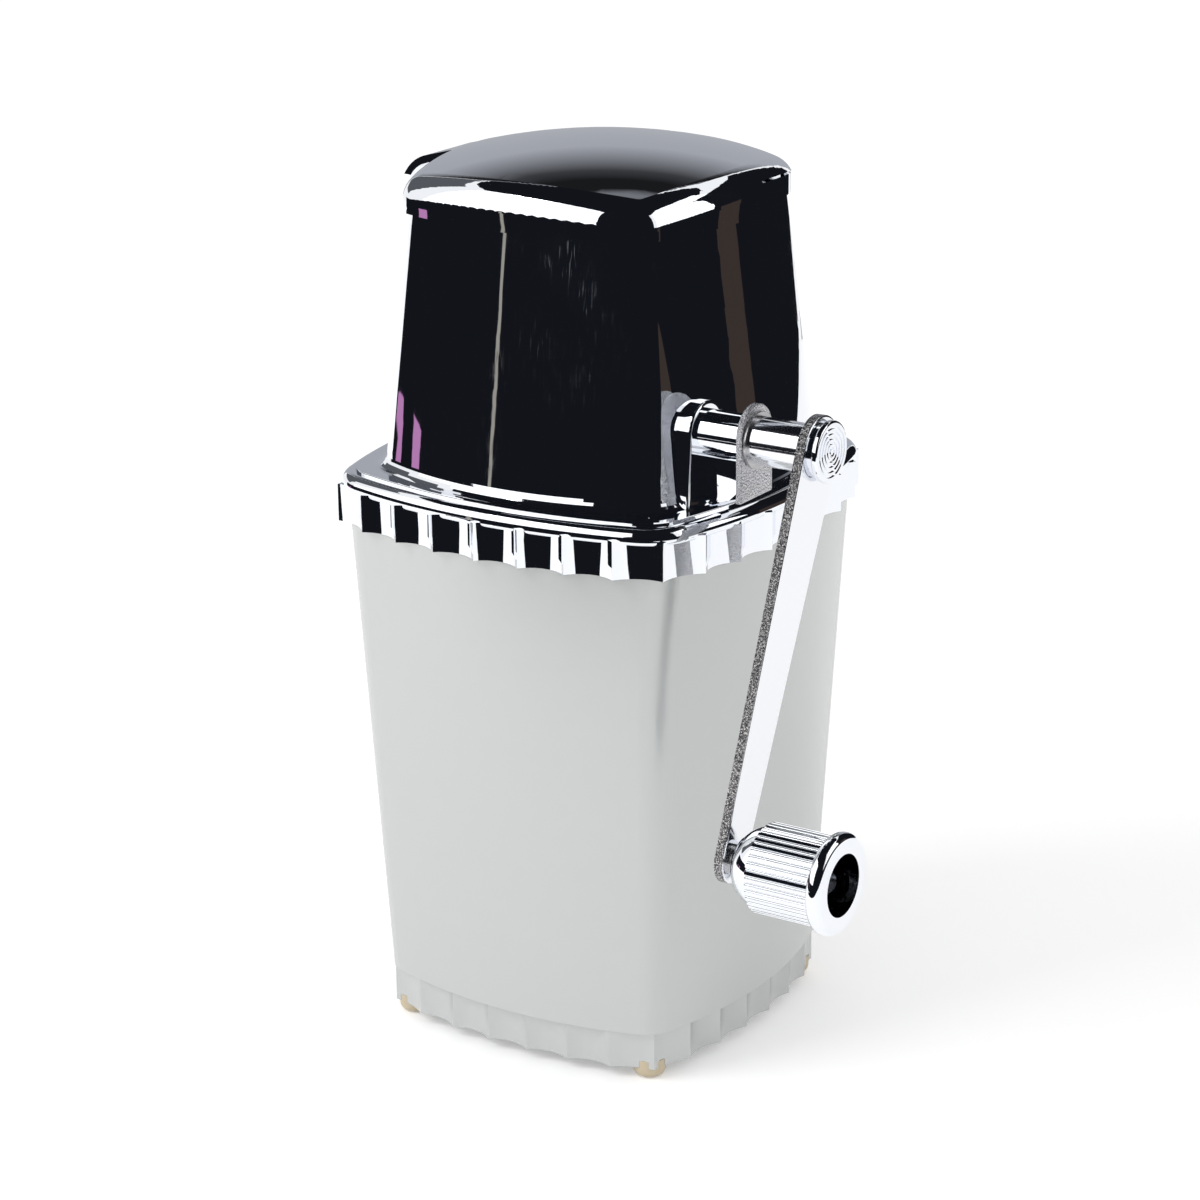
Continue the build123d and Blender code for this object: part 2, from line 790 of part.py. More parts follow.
with BuildPart() as left_bush:
    add(across(crank_axis, bush_radius, -inner_boss_x - left_bush_length + close_fit, -inner_boss_x))
    add(across(crank_axis, journal_radius + close_fit, -BEYOND / 2, 0), mode=Mode.SUBTRACT)
finish(left_bush.part, "left_bush")

with BuildPart() as right_bush:
    add(across(crank_axis, bush_radius, inner_boss_x, plate_face_x))
    add(across(crank_axis, journal_radius + close_fit, 0, BEYOND / 2), mode=Mode.SUBTRACT)
finish(right_bush.part, "right_bush")

# ================================================================ shaft
washer_back_x = plate_face_x + close_fit
hub_back_x = washer_back_x + washer_thickness
square_half_length = inner_boss_x - side_gap
left_end_x = -inner_boss_x - left_bush_length + side_gap
with BuildPart() as shaft:
    add(across(crank_axis, journal_radius, left_end_x, -square_half_length))
    add(across(crank_axis, journal_radius, square_half_length, arm_face_x - drive_end_length))
    add(square_across(crank_axis, drive_square, -square_half_length, square_half_length))
    add(square_across(crank_axis, drive_end_square, arm_face_x - drive_end_length, arm_face_x))
    add(across(crank_axis, stud_radius, arm_face_x, arm_face_x + cap_base_height))
finish(shaft.part, "shaft")

# ================================================================ rotor discs and spacers
claw_points = [
    (claw_root_radius - claw_root_sink, -claw_back_angle),
    (claw_root_radius, -claw_back_angle),
    (claw_radius, -claw_hook_angle),
    (claw_radius, 0),
    (claw_root_radius, claw_hook_angle / 2),
    (claw_root_radius - claw_root_sink, claw_hook_angle),
]


def polar(radius, angle):
    """A point in the rotor's plane at a radius and an angle in degrees."""
    return (radius * cos(radians(angle)), radius * sin(radians(angle)))


def crusher_disc(index):
    """One disc of hooked claws, turned a little further than its neighbour."""
    middle_x = (index - (disc_count - 1) / 2) * disc_pitch
    back_x = middle_x - disc_thickness / 2
    with BuildPart() as disc:
        with BuildSketch(Plane(origin=(back_x, *crank_axis), x_dir=(0, 1, 0), z_dir=(1, 0, 0))):
            Circle(claw_root_radius)
            for claw in range(claw_count):
                turn = 360 / claw_count * claw + claw_stagger * index
                with BuildLine():
                    Polyline(*[polar(r, a + turn) for r, a in claw_points], close=True)
                make_face()
            Rectangle(
                drive_square + 2 * close_fit, drive_square + 2 * close_fit, mode=Mode.SUBTRACT
            )
        extrude(amount=disc_thickness)
    return disc.part


for index in range(disc_count):
    finish(crusher_disc(index), f"crusher_disc_{index + 1}")

with BuildPart() as disc_spacers:
    for index in range(disc_count - 1):
        start = (index - disc_count / 2 + 1) * disc_pitch - (disc_pitch - disc_thickness) / 2
        add(across(crank_axis, spacer_radius, start, start + disc_pitch - disc_thickness))
    add(
        square_across(crank_axis, drive_square + 2 * close_fit, -BEYOND / 2, BEYOND / 2),
        mode=Mode.SUBTRACT,
    )
finish(disc_spacers.part, "disc_spacers")

rotor_half = (disc_count - 1) / 2 * disc_pitch + disc_thickness / 2
with BuildPart() as end_spacers:
    add(across(crank_axis, spacer_radius, -square_half_length, -rotor_half))
    add(across(crank_axis, spacer_radius, rotor_half, square_half_length))
    add(
        square_across(crank_axis, drive_square + 2 * close_fit, -BEYOND / 2, BEYOND / 2),
        mode=Mode.SUBTRACT,
    )
finish(end_spacers.part, "end_spacers")

# ================================================================ ice ramp, breaker comb, screws
with BuildPart() as ramp:
    add(ramp_slab(-BEYOND / 2, BEYOND / 2, ramp_start, ramp_start + ramp_length, 0, ramp_wall))
    add(hopper_core(-hopper_wall - side_gap, hopper_foot_z, hopper_top_z), mode=Mode.INTERSECT)
    add(
        ramp_pins(ramp_screws_at + comb_screws_at, small_screw_radius + close_fit, 0, ramp_wall),
        mode=Mode.SUBTRACT,
    )
finish(ramp.part, "ice_ramp")

with BuildPart() as comb:
    add(
        ramp_slab(
            -comb_half_width, comb_half_width, ramp_start, ramp_start + comb_depth,
            ramp_wall, comb_thickness,
        )
    )
    for index in range(disc_count - 1):
        middle_x = (index - disc_count / 2 + 1) * disc_pitch
        add(
            ramp_slab(
                middle_x - finger_width / 2, middle_x + finger_width / 2,
                ramp_start - finger_reach, ramp_start + HAIR, ramp_wall, comb_thickness,
            )
        )
    add(
        ramp_pins(comb_screws_at, small_screw_radius + close_fit, ramp_wall, comb_thickness),
        mode=Mode.SUBTRACT,
    )
finish(comb.part, "breaker_comb")

with BuildPart() as ramp_screws:
    add(ramp_pins(ramp_screws_at, small_screw_radius, 0, ramp_wall + small_screw_bite))
    add(
        ramp_pins(
            ramp_screws_at, small_screw_head_radius, -small_screw_head_height,
            small_screw_head_height,
        )
    )
finish(ramp_screws.part, "ramp_screws")

comb_under = ramp_wall + comb_thickness
with BuildPart() as comb_screws:
    add(ramp_pins(comb_screws_at, small_screw_radius, 0, comb_under))
    add(ramp_pins(comb_screws_at, small_screw_head_radius, comb_under, small_screw_head_height))
finish(comb_screws.part, "comb_screws")

# ================================================================ crank washer, arm and cap nut
with BuildPart() as washer:
    add(across(crank_axis, washer_radius, washer_back_x, hub_back_x))
    add(across(crank_axis, journal_radius + close_fit, washer_back_x, hub_back_x), mode=Mode.SUBTRACT)
finish(washer.part, "crank_washer")

with BuildPart() as arm:
    with BuildSketch(Plane(origin=(arm_back_x, *crank_axis), x_dir=(0, 1, 0), z_dir=(1, 0, 0))):
        Circle(arm_head_radius)
        with Locations((knob_y - axis_y, knob_z - axis_z)):
            Circle(arm_eye_radius)
        make_hull()
    extrude(amount=arm_thickness)
    fillet(arm.edges().group_by(Axis.X)[-1], arm_edge_round)
    add(across(crank_axis, hub_radius, hub_back_x, arm_back_x))
    add(
        across(crank_axis, journal_radius + close_fit, hub_back_x, arm_face_x - drive_end_length),
        mode=Mode.SUBTRACT,
    )
    add(
        square_across(
            crank_axis, drive_end_square + 2 * close_fit, arm_face_x - drive_end_length, arm_face_x
        ),
        mode=Mode.SUBTRACT,
    )
    add(across(knob_axis, knob_pin_radius, arm_back_x, arm_face_x), mode=Mode.SUBTRACT)
finish(arm.part, "crank_arm")

cap_back_x = arm_face_x + cap_base_height
cap_face_x = cap_back_x + cap_height
with BuildPart() as cap:
    add(across(crank_axis, cap_radius, cap_back_x, cap_face_x))
    fillet(cap.edges(), cap_height / 3)
    add(across(crank_axis, cap_base_radius, arm_face_x, cap_back_x))
    with BuildSketch(Plane(origin=(cap_face_x, *crank_axis), x_dir=(0, 1, 0), z_dir=(1, 0, 0))):
        for ring in range(cap_ring_count, 0, -1):
            ring_radius = cap_ring_pitch * ring
            Circle(ring_radius)
            Circle(ring_radius - cap_ring_width, mode=Mode.SUBTRACT)
    extrude(amount=-cap_ring_depth, mode=Mode.SUBTRACT)
    add(across(crank_axis, stud_radius, arm_face_x, cap_back_x), mode=Mode.SUBTRACT)
finish(cap.part, "cap_nut")

# ================================================================ knob and its pin
pin_head_back_x = grip_back_x + side_gap
with BuildPart() as knob_pin:
    add(across(knob_axis, knob_pin_radius, arm_back_x, pin_head_back_x))
    add(across(knob_axis, knob_collar_radius, arm_face_x, arm_face_x + knob_collar_length))
    add(
        across(
            knob_axis, knob_pin_head_radius, pin_head_back_x,
            pin_head_back_x + knob_pin_head_height,
        )
    )
finish(knob_pin.part, "knob_pin")

knob_core_radius = grip_radius - grip_wall
with BuildPart() as knob_body:
    with BuildSketch(Plane.XZ):
        with BuildLine():
            Polyline(
                (knob_back_x, 0), (knob_back_x, knob_dome_nose_radius)
            )
            RadiusArc(
                (knob_back_x, knob_dome_nose_radius), (grip_back_x, knob_dome_radius),
                knob_dome_radius,
            )
            Polyline(
                (grip_back_x, knob_dome_radius), (grip_back_x, knob_core_radius),
                (ring_back_x, knob_core_radius), (ring_back_x, knob_bore_radius),
                (grip_back_x, knob_bore_radius), (grip_back_x, 0), (knob_back_x, 0),
            )
        make_face()
    revolve(axis=Axis.X)
knob_shift = Pos(0, knob_y, knob_z)
with BuildPart() as knob_sleeve:
    add(knob_shift * knob_body.part)
    add(
        across(knob_axis, knob_pin_radius + close_fit, knob_back_x, grip_back_x),
        mode=Mode.SUBTRACT,
    )
finish(knob_sleeve.part, "knob_body")

with BuildPart() as grip:
    with BuildSketch(Plane(origin=(grip_back_x, *knob_axis), x_dir=(0, 1, 0), z_dir=(1, 0, 0))):
        Circle(grip_radius)
        with PolarLocations(grip_radius, grip_rib_count):
            Circle(grip_rib_depth, mode=Mode.SUBTRACT)
        Circle(knob_core_radius, mode=Mode.SUBTRACT)
    extrude(amount=grip_length)
finish(grip.part, "knob_grip")

with BuildPart() as knob_ring:
    add(across(knob_axis, knob_ring_radius, ring_back_x, knob_face_x))
    fillet(knob_ring.edges(), knob_ring_round)
    add(across(knob_axis, knob_bore_radius, ring_back_x, knob_face_x), mode=Mode.SUBTRACT)
finish(knob_ring.part, "knob_end_ring")
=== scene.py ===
# %% [markdown]
# # Hand crank ice crusher
# The CAD gives the true shapes, the joints and the collision. This lesson dresses them: it gives
# each part its finish and sets up a studio like the photograph's. It adds no pieces of its own,
# because every shape that shows is already in the CAD mesh.

# %% Load the frame
import json
import math

import bpy
from mathutils import Matrix, Vector


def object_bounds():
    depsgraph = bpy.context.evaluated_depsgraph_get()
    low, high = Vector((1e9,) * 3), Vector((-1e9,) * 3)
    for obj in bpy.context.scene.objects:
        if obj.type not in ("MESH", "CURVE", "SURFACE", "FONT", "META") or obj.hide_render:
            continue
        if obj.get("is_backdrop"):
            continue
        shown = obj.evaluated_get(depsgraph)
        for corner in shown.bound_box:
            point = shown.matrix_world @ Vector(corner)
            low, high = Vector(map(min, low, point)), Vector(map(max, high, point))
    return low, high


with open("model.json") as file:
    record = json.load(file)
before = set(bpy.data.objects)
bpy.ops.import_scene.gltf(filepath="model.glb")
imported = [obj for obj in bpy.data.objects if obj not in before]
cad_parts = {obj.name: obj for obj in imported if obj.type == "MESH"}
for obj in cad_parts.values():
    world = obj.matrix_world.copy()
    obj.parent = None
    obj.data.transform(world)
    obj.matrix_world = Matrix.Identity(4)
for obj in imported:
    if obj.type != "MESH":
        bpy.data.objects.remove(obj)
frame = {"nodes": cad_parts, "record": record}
size_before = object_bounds()
MM_PER_METRE = 1000


def box_sides(corners):
    """The sides of a box that is given by two corners, as text."""
    sides = (f"{(high - low) * MM_PER_METRE:.1f}" for low, high in zip(*corners))
    return " x ".join(sides) + " mm"


print(f"{len(frame['nodes'])} CAD nodes in a box of {box_sides(size_before)}")

# %% [markdown]
# ## Patterns that several finishes share
# Metal is never quite even: plate has wipe marks, and a casting has a grain. Such marks could be
# painted on an image, or made by a noise. Noise is chosen, because it is sharp from any distance
# and needs no file. Each pattern is built once, as a node group with its own inputs, and every
# finish places it with its own scale and range. All patterns read Object coordinates, which are in
# metres and stay put on the part when it moves.

# %% Arithmetic and empty groups


def maths(tree, operation, *values, clamp=False):
    """One step of arithmetic on sockets or numbers; gives its output socket."""
    step = tree.nodes.new("ShaderNodeMath")
    step.operation = operation
    step.use_clamp = clamp
    for slot, value in enumerate(values):
        if isinstance(value, (int, float)):
            step.inputs[slot].default_value = value
        else:
            tree.links.new(value, step.inputs[slot])
    return step.outputs["Value"]


def group(name, inputs):
    """An empty node group with named number inputs and one output, Value; gives tree and ends."""
    tree = bpy.data.node_groups.new(name, "ShaderNodeTree")
    for label, value in inputs.items():
        socket = tree.interface.new_socket(label, in_out="INPUT", socket_type="NodeSocketFloat")
        socket.default_value = value
    tree.interface.new_socket("Value", in_out="OUTPUT", socket_type="NodeSocketFloat")
    print(f"group {name} takes {', '.join(inputs)}")
    return tree, tree.nodes.new("NodeGroupInput"), tree.nodes.new("NodeGroupOutput")


# %% Noise patterns
# Nearly all of a noise lies between these two values, and they are spread to Low and High.
NOISE_LEAST, NOISE_MOST = 0.3, 0.7


def noise_group(name, stretch, roughness=0.55):
    """Noise in object space, finer or coarser along each axis by a stretch."""
    tree, entry, end = group(name, {"Scale": 100.0, "Detail": 3.0, "Low": 0.0, "High": 1.0})
    place = tree.nodes.new("ShaderNodeTexCoord")
    mapping = tree.nodes.new("ShaderNodeMapping")
    mapping.inputs["Scale"].default_value = stretch
    noise = tree.nodes.new("ShaderNodeTexNoise")
    noise.inputs["Roughness"].default_value = roughness
    spread = tree.nodes.new("ShaderNodeMapRange")
    spread.inputs["From Min"].default_value = NOISE_LEAST
    spread.inputs["From Max"].default_value = NOISE_MOST
    link = tree.links.new
    link(place.outputs["Object"], mapping.inputs["Vector"])
    link(mapping.outputs["Vector"], noise.inputs["Vector"])
    link(entry.outputs["Scale"], noise.inputs["Scale"])
    link(entry.outputs["Detail"], noise.inputs["Detail"])
    link(noise.outputs["Fac"], spread.inputs["Value"])
    link(entry.outputs["Low"], spread.inputs["To Min"])
    link(entry.outputs["High"], spread.inputs["To Max"])
    link(spread.outputs["Result"], end.inputs["Value"])
    return tree


even_grain = noise_group("even_grain", (1, 1, 1))
fine_scratches = noise_group("fine_scratches", (1, 1, 0.25), roughness=0.7)
upright_lines = noise_group("upright_lines", (1, 0.4, 0.05), roughness=0.4)

# %% [markdown]
# ## Slices
# Some finishes change across one part, such as an arm with polished faces and a rough rim. The faces
# could be sorted into two materials. A slice is simpler where the change follows an axis: it is a
# mask that is one between two places on that axis, and falls to nought over a short fade.

# %% Slices


def slice_group(name, axis):
    """A mask that is one between Low and High along an object axis, with soft ends."""
    tree, entry, end = group(name, {"Low": 0.0, "High": 1.0, "Fade": 0.0002})
    low, high, fade = (entry.outputs[label] for label in ("Low", "High", "Fade"))
    place = tree.nodes.new("ShaderNodeTexCoord")
    split = tree.nodes.new("ShaderNodeSeparateXYZ")
    tree.links.new(place.outputs["Object"], split.inputs["Vector"])
    along = split.outputs[axis]
    past_low = maths(tree, "DIVIDE", maths(tree, "SUBTRACT", along, low), fade, clamp=True)
    before_high = maths(tree, "DIVIDE", maths(tree, "SUBTRACT", high, along), fade, clamp=True)
    tree.links.new(maths(tree, "MULTIPLY", past_low, before_high), end.inputs["Value"])
    return tree


slice_x = slice_group("slice_x", "X")
slice_z = slice_group("slice_z", "Z")

# %% [markdown]
# ## Bright chrome
# The head, the cap nut and the knob are bright chrome plate: a near mirror, faintly blue. A perfect
# mirror looks like a computer's, so the roughness varies. Wiping leaves soft marks all over, and
# wear leaves thin upright lines, in some patches only. Lines and patches start well under nought and
# are cut off there, so that only their peaks stay, and their product puts lines in the patches.

# %% Building a finish


def finish(name, color, metallic, roughness):
    """A material with plain values on its shader; a pattern that is fed in later takes over."""
    made = bpy.data.materials.new(name)
    made.use_nodes = True
    shader = made.node_tree.nodes["Principled BSDF"]
    shader.inputs["Base Color"].default_value = (*color, 1)
    shader.inputs["Metallic"].default_value = metallic
    shader.inputs["Roughness"].default_value = roughness
    return made


def placed(made, effect, **values):
    """A node group placed in a finish with its own values; gives its output socket."""
    pattern = made.node_tree.nodes.new("ShaderNodeGroup")
    pattern.node_tree = effect
    for label, value in values.items():
        pattern.inputs[label].default_value = value
    return pattern.outputs["Value"]


def feed(made, socket, source):
    """Links a source to a socket of the finish's shader."""
    made.node_tree.links.new(source, made.node_tree.nodes["Principled BSDF"].inputs[socket])


def describe(made):
    """Prints which sockets of a finish's shader a pattern feeds."""
    sockets = made.node_tree.nodes["Principled BSDF"].inputs
    fed = ", ".join(socket.name for socket in sockets if socket.is_linked)
    print(f"{made.name}: {len(made.node_tree.nodes)} nodes, patterns in {fed}")


# %% Chrome
worn_roughness = 0.11

chrome = finish("bright_chrome", color=(0.86, 0.88, 0.92), metallic=1.0, roughness=0.02)
wiped = placed(chrome, fine_scratches, Scale=180, Detail=3, Low=0.012, High=0.03)
lines = placed(chrome, upright_lines, Scale=2600, Detail=1, Low=-2.2, High=1.0)
patches = placed(chrome, even_grain, Scale=34, Detail=2, Low=-1.4, High=1.0)
few_lines = maths(chrome.node_tree, "MAXIMUM", lines, 0.0)
few_patches = maths(chrome.node_tree, "MAXIMUM", patches, 0.0)
worn = maths(chrome.node_tree, "MULTIPLY", few_lines, few_patches)
feed(chrome, "Roughness", maths(chrome.node_tree, "MULTIPLY_ADD", worn, worn_roughness, wiped))
describe(chrome)

# %% [markdown]
# ## The lid's rim
# The lid has the same plate, so its finish is a copy. The real rim is one large rounding. That shape
# belongs in the CAD: a bump only leans what a surface mirrors. The bump here is very weak, because
# its band has its ends swapped and a fade below nought. That makes the mask a low hump, nought at
# both ends of the band, which leans the mirror by two degrees at most. A Map Range node from one end
# of the band to the other would be the way to a stronger lean.

# %% Lid chrome
band_low, band_high = 0.2315, 0.2405


def raised(made, height, strength, distance):
    """A bump on the finish from a height socket."""
    bump = made.node_tree.nodes.new("ShaderNodeBump")
    bump.inputs["Strength"].default_value = strength
    bump.inputs["Distance"].default_value = distance
    made.node_tree.links.new(height, bump.inputs["Height"])
    feed(made, "Normal", bump.outputs["Normal"])


lid_chrome = chrome.copy()
lid_chrome.name = "lid_chrome"
hump = placed(lid_chrome, slice_z, Low=band_high, High=band_low, Fade=band_low - band_high)
hump_squared = maths(lid_chrome.node_tree, "POWER", hump, 2.0)
raised(lid_chrome, hump_squared, strength=1.0, distance=0.0016)
describe(lid_chrome)

# %% [markdown]
# ## Satin silver cup
# The cup is a casting under satin silver lacquer: it mirrors softly and with little contrast. That
# could be a metal under a clear coat. One shader a little under half metallic does as well, because
# what shows is the blur and a fine grain. The grain is a noise in the roughness and in a faint bump.

# %% Satin silver


def grained(name, color, metallic, roughness, effect, **values):
    """A finish with one pattern in its roughness."""
    made = finish(name, color, metallic, roughness)
    feed(made, "Roughness", placed(made, effect, **values))
    return made


silver = grained(
    "satin_silver", (0.60, 0.615, 0.61), 0.45, 0.3,
    even_grain, Scale=2600, Detail=2, Low=0.19, High=0.25,
)
raised(silver, placed(silver, even_grain, Scale=5200, Detail=2), strength=0.07, distance=0.0002)
describe(silver)

# %% [markdown]
# ## Cast bearing plate
# The plate round the crank shaft keeps the pebbled skin of its casting under the chrome. The dimples
# could be modelled, but each is under a millimetre wide. A bump gives them without a single face.

# %% Cast chrome
cast = finish("cast_chrome", color=(0.62, 0.62, 0.65), metallic=1.0, roughness=0.16)
raised(cast, placed(cast, even_grain, Scale=1500, Detail=4), strength=0.6, distance=0.0004)
describe(cast)

# %% [markdown]
# ## Crank arm
# The arm is polished on its face and keeps a rough, speckled skin round its rim. The face lies square
# to X, at 83.8 mm, and the back at 81.2 mm. So a slice along X finds the rim: it is nought on the
# face, one on most of the rim and half on the back. In it, specks mix a dark and a light grey, and a
# second noise raises the surface.

# %% Arm chrome
# A colour Mix node has sockets of the same names for numbers and vectors, so it goes by index.
MIX_FIRST, MIX_SECOND, MIX_RESULT = 6, 7, 2
rim_from, rim_to = 0.0811, 0.0837
face_color = (0.86, 0.87, 0.90)
dark_speck, light_speck = (0.10, 0.10, 0.11), (0.80, 0.78, 0.77)


def blended(made, mask, first, second):
    """A colour that goes from first to second with a mask."""
    mix = made.node_tree.nodes.new("ShaderNodeMix")
    mix.data_type = "RGBA"
    made.node_tree.links.new(mask, mix.inputs["Factor"])
    for index, value in ((MIX_FIRST, first), (MIX_SECOND, second)):
        if isinstance(value, tuple):
            mix.inputs[index].default_value = (*value, 1)
        else:
            made.node_tree.links.new(value, mix.inputs[index])
    return mix.outputs[MIX_RESULT]


arm_finish = finish("arm_chrome", color=face_color, metallic=1.0, roughness=0.1)
rim = placed(arm_finish, slice_x, Low=rim_from, High=rim_to)
specks = placed(arm_finish, even_grain, Scale=2300, Detail=2, Low=-0.5, High=1.15)
speck_mask = maths(arm_finish.node_tree, "ADD", specks, 0.0, clamp=True)
dappled = blended(arm_finish, speck_mask, dark_speck, light_speck)
feed(arm_finish, "Base Color", blended(arm_finish, rim, face_color, dappled))
grains = placed(arm_finish, even_grain, Scale=1900, Detail=3)
rim_grains = maths(arm_finish.node_tree, "MULTIPLY", grains, rim)
raised(arm_finish, rim_grains, strength=0.8, distance=0.0003)
describe(arm_finish)

# %% [markdown]
# ## Feet, works and screws
# The feet are a clear beige rubber. Inside are a shaft and discs of ground steel, a ramp and comb of
# rolled sheet, turned screws and pins, and bronze bushes. Each could have patterns of its own. They
# show little, so one pattern in the roughness is enough: a stretched noise for ground and rolled
# steel, whose marks run one way, and an even one for the rest.

# %% Rubber, steels and bronze
rubber = grained(
    "clear_beige_rubber", (0.66, 0.56, 0.40), 0.0, 0.45,
    even_grain, Scale=900, Detail=2, Low=0.35, High=0.55,
)
steel = grained(
    "ground_steel", (0.56, 0.56, 0.57), 1.0, 0.28,
    fine_scratches, Scale=900, Detail=2, Low=0.2, High=0.36,
)
sheet_steel = grained(
    "rolled_sheet", (0.62, 0.62, 0.63), 1.0, 0.22,
    fine_scratches, Scale=500, Detail=3, Low=0.16, High=0.3,
)
screw_metal = grained(
    "turned_steel", (0.5, 0.5, 0.51), 1.0, 0.3,
    even_grain, Scale=1500, Detail=2, Low=0.22, High=0.36,
)
bronze = grained(
    "bush_bronze", (0.34, 0.23, 0.12), 1.0, 0.35,
    even_grain, Scale=1500, Detail=2, Low=0.28, High=0.45,
)
for made in (rubber, steel, sheet_steel, screw_metal, bronze):
    describe(made)

# %% [markdown]
# ## Giving the parts their finish
# The record names a material slot for every CAD node, so the finishes are handed out by slot and not
# part by part: a node that is added later gets its finish by itself. The lid is the one exception.

# %% Finishes by slot
by_slot = {
    "cup_metal": silver,
    "bright_plate": chrome,
    "cast_metal": cast,
    "arm_metal": arm_finish,
    "foot_rubber": rubber,
    "rotor_steel": steel,
    "ramp_steel": sheet_steel,
    "screw_steel": screw_metal,
    "bush_bronze": bronze,
}
slot_of = {row["node"]: row["material_slot"] for row in frame["record"]["subparts"]}
for name, part in frame["nodes"].items():
    for slot in part.material_slots:
        slot.material = by_slot[slot_of[name]]
frame["nodes"]["lid"].material_slots[0].material = lid_chrome
for slot_name, made in by_slot.items():
    print(f"{slot_name}: {made.name} on {list(slot_of.values()).count(slot_name)} nodes")

# %% [markdown]
# ## Camera
# The photograph was taken with a long lens, from a little above and turned towards the crank side.
# A camera could be moved by hand until its view looks right. This one's place, aim, roll and lens
# come from a least-squares fit of the object's known points and edges to the photograph, and are
# typed in as numbers. The small shifts bring the frame's middle to where the photograph has it.

# %% Camera
camera_data = bpy.data.cameras.new("camera")
camera_data.sensor_width = 36
camera_data.lens = 102.2
camera_data.shift_x = -0.0028
camera_data.shift_y = -0.01634
camera = bpy.data.objects.new("camera", camera_data)
bpy.context.scene.collection.objects.link(camera)
eye = Vector((0.49235, -0.75918, 0.42050))
look = Vector((-0.51724, 0.79756, -0.31043)).normalized()
azimuth, roll = math.radians(32.965), math.radians(-0.459)
level = Vector((math.cos(azimuth), math.sin(azimuth), 0))
up = level.cross(look)
right = level * math.cos(roll) + up * math.sin(roll)
top = up * math.cos(roll) - level * math.sin(roll)
camera.matrix_world = Matrix.Translation(eye) @ Matrix((right, top, -look)).transposed().to_4x4()
bpy.context.scene.camera = camera
print(f"camera {eye.length:.2f} m from the origin, lens {camera_data.lens:.1f} mm")

# %% [markdown]
# ## White table and room
# The photograph has a plain white ground. Lamps strong enough to make it white would light the
# crusher too much. So the table gives off a little light of its own, and the room is full white, but
# only for rays that see them directly, in a mirror or through something. What lights the crusher is
# a little weaker.

# %% What a ray sees directly


def seen_directly(tree):
    """One for rays from the camera and for mirrored or refracted ones, and nought for the rest."""
    path = tree.nodes.new("ShaderNodeLightPath")
    total = path.outputs["Is Camera Ray"]
    for label in ("Is Glossy Ray", "Is Transmission Ray"):
        total = maths(tree, "ADD", total, path.outputs[label], clamp=True)
    return total


# %% Table
table_side = 12
table_glow = 0.3
white = (1, 1, 1, 1)

bpy.ops.object.select_all(action="DESELECT")
bpy.ops.mesh.primitive_plane_add(size=table_side, location=(0, 0, 0))
floor = bpy.context.active_object
floor.name = "floor"
floor_paint = finish("floor_white", color=(0.9, 0.9, 0.9), metallic=0.0, roughness=0.9)
floor_shader = floor_paint.node_tree.nodes["Principled BSDF"]
floor_shader.inputs["Emission Color"].default_value = white
seen = seen_directly(floor_paint.node_tree)
feed(floor_paint, "Emission Strength", maths(floor_paint.node_tree, "MULTIPLY", seen, table_glow))
floor.data.materials.append(floor_paint)
floor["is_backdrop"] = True
print(f"table {table_side} m square, glow {table_glow} where it is seen")

# %% Room
room_light, room_seen = 0.75, 1.0

world = bpy.data.worlds.new("studio")
bpy.context.scene.world = world
world.use_nodes = True
tree = world.node_tree
tree.nodes.clear()
# The mix shows its first shader where the mask is nought, and its second where the mask is one.
mix = tree.nodes.new("ShaderNodeMixShader")
tree.links.new(seen_directly(tree), mix.inputs["Fac"])
for slot, strength in ((1, room_light), (2, room_seen)):
    background = tree.nodes.new("ShaderNodeBackground")
    background.inputs["Color"].default_value = white
    background.inputs["Strength"].default_value = strength
    tree.links.new(background.outputs["Background"], mix.inputs[slot])
end = tree.nodes.new("ShaderNodeOutputWorld")
tree.links.new(mix.outputs["Shader"], end.inputs["Surface"])
print(f"room lights the crusher with {room_light} and shows as {room_seen}")

# %% [markdown]
# ## Mirrored cards
# Chrome shows what stands round it, so most of its look is the studio. The walls, soft boxes and
# patches could be real objects, but they would shade the crusher and stand in the picture. They are
# cards that only mirrored rays see. Each stands at a compass bearing and height that came from
# following rays from the camera to the crusher's metal, and on to what the photograph shows there.

# %% Making a card


def emission(name, color, strength=1.0):
    """A plain surface that gives off light."""
    made = bpy.data.materials.new(name)
    made.use_nodes = True
    tree = made.node_tree
    tree.nodes.clear()
    glow = tree.nodes.new("ShaderNodeEmission")
    glow.inputs["Color"].default_value = (*color, 1)
    glow.inputs["Strength"].default_value = strength
    end = tree.nodes.new("ShaderNodeOutputMaterial")
    tree.links.new(glow.outputs["Emission"], end.inputs["Surface"])
    return made


def card(name, centre, facing, width, height, made):
    """A flat panel that only mirrored rays see."""
    bpy.ops.object.select_all(action="DESELECT")
    bpy.ops.mesh.primitive_plane_add(size=1, location=(0, 0, 0))
    panel = bpy.context.active_object
    panel.name = name
    out = (Vector(facing) - Vector(centre)).normalized()
    panel.matrix_world = (
        Matrix.Translation(centre)
        @ out.to_track_quat("Z", "Y").to_matrix().to_4x4()
        @ Matrix.Diagonal((width, height, 1, 1))
    )
    panel.data.materials.append(made)
    panel.visible_camera = False
    panel.visible_diffuse = False
    panel.visible_shadow = False
    panel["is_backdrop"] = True
    print(f"{name}: {made.name}, {width:.2f} x {height:.2f} m")


def wall(name, bearing, distance, low, high, width, made):
    """An upright card at a compass bearing in degrees, counted from +X towards +Y."""
    angle = math.radians(bearing)
    x, y, z = distance * math.cos(angle), distance * math.sin(angle), (low + high) / 2
    card(name, (x, y, z), (0, 0, z), width, high - low, made)


